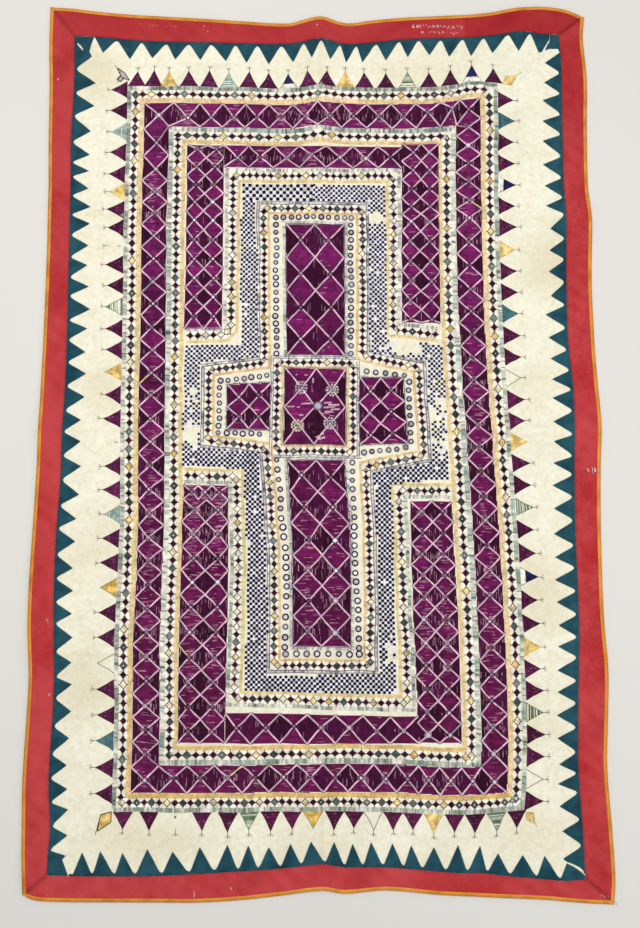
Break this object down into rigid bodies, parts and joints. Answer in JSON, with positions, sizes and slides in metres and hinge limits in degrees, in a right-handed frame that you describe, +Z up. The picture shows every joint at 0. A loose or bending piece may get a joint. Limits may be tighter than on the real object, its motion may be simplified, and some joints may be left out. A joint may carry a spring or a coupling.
{
  "type": "ralli quilt laid flat",
  "caption": "Ralli quilt laid flat: pale cotton ground with an embroidered cross in frames, pointed leaves around it, a dark saw-tooth strip, a red border and a bright edge binding.",
  "frame": {"origin": "middle of the quilt's outline box, on the flat surface that the quilt lies on", "axes": "+X across the width, +Y along the length towards the shorter arm of the cross, +Z up, out of the stitched face"},
  "size_m": [1.3846, 2.1822, 0.0092],
  "materials": {
    "ground_cloth": "matt pale cream cotton with stitched work on its face",
    "sawtooth": "matt dark blue-green cotton",
    "border": "matt faded red cotton",
    "binding": "matt bright orange cotton"
  },
  "bodies": {
    "root": {"ground_cloth": "ground_cloth", "sawtooth_top": "sawtooth", "sawtooth_bottom": "sawtooth", "sawtooth_left": "sawtooth", "sawtooth_right": "sawtooth", "border_top": "border", "border_bottom": "border", "border_left": "border", "border_right": "border", "binding_top": "binding", "binding_bottom": "binding", "binding_left": "binding", "binding_right": "binding"}
  },
  "joints": []
}
